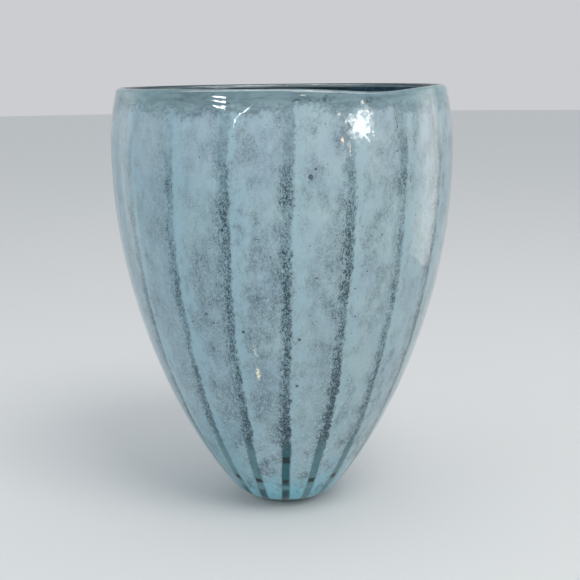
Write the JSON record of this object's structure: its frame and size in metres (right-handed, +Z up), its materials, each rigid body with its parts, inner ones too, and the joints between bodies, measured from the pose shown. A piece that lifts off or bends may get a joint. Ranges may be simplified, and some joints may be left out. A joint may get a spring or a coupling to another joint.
{
  "type": "blown glass vase",
  "caption": "Tapered blown glass vase with a wide open mouth, cased pale blue powder colour in vertical panels and dark clear stripes, on a small flat foot.",
  "frame": {"origin": "centre of the flat foot, on the surface that the vase stands on", "axes": "+Z up along the vase's axis of revolution, -Y towards the viewer of the picture, +X to the viewer's right"},
  "size_m": [0.1842, 0.1842, 0.23],
  "materials": {
    "inner_tint": "gloss",
    "powder_colour": "mottled, with dark specks, under glass",
    "stripe_glass": "dark clear glass with pale grains",
    "clear_casing": "fire polished gloss"
  },
  "bodies": {
    "root": {"inner_glass": "inner_tint", "blue_panel_01": "powder_colour", "blue_panel_02": "powder_colour", "blue_panel_03": "powder_colour", "blue_panel_04": "powder_colour", "blue_panel_05": "powder_colour", "blue_panel_06": "powder_colour", "blue_panel_07": "powder_colour", "blue_panel_08": "powder_colour", "blue_panel_09": "powder_colour", "blue_panel_10": "powder_colour", "blue_panel_11": "powder_colour", "blue_panel_12": "powder_colour", "blue_panel_13": "powder_colour", "blue_panel_14": "powder_colour", "blue_panel_15": "powder_colour", "blue_panel_16": "powder_colour", "blue_panel_17": "powder_colour", "blue_panel_18": "powder_colour", "clear_stripe_01": "stripe_glass", "clear_stripe_02": "stripe_glass", "clear_stripe_03": "stripe_glass", "clear_stripe_04": "stripe_glass", "clear_stripe_05": "stripe_glass", "clear_stripe_06": "stripe_glass", "clear_stripe_07": "stripe_glass", "clear_stripe_08": "stripe_glass", "clear_stripe_09": "stripe_glass", "clear_stripe_10": "stripe_glass", "clear_stripe_11": "stripe_glass", "clear_stripe_12": "stripe_glass", "clear_stripe_13": "stripe_glass", "clear_stripe_14": "stripe_glass", "clear_stripe_15": "stripe_glass", "clear_stripe_16": "stripe_glass", "clear_stripe_17": "stripe_glass", "clear_stripe_18": "stripe_glass", "outer_casing": "clear_casing"}
  },
  "joints": []
}
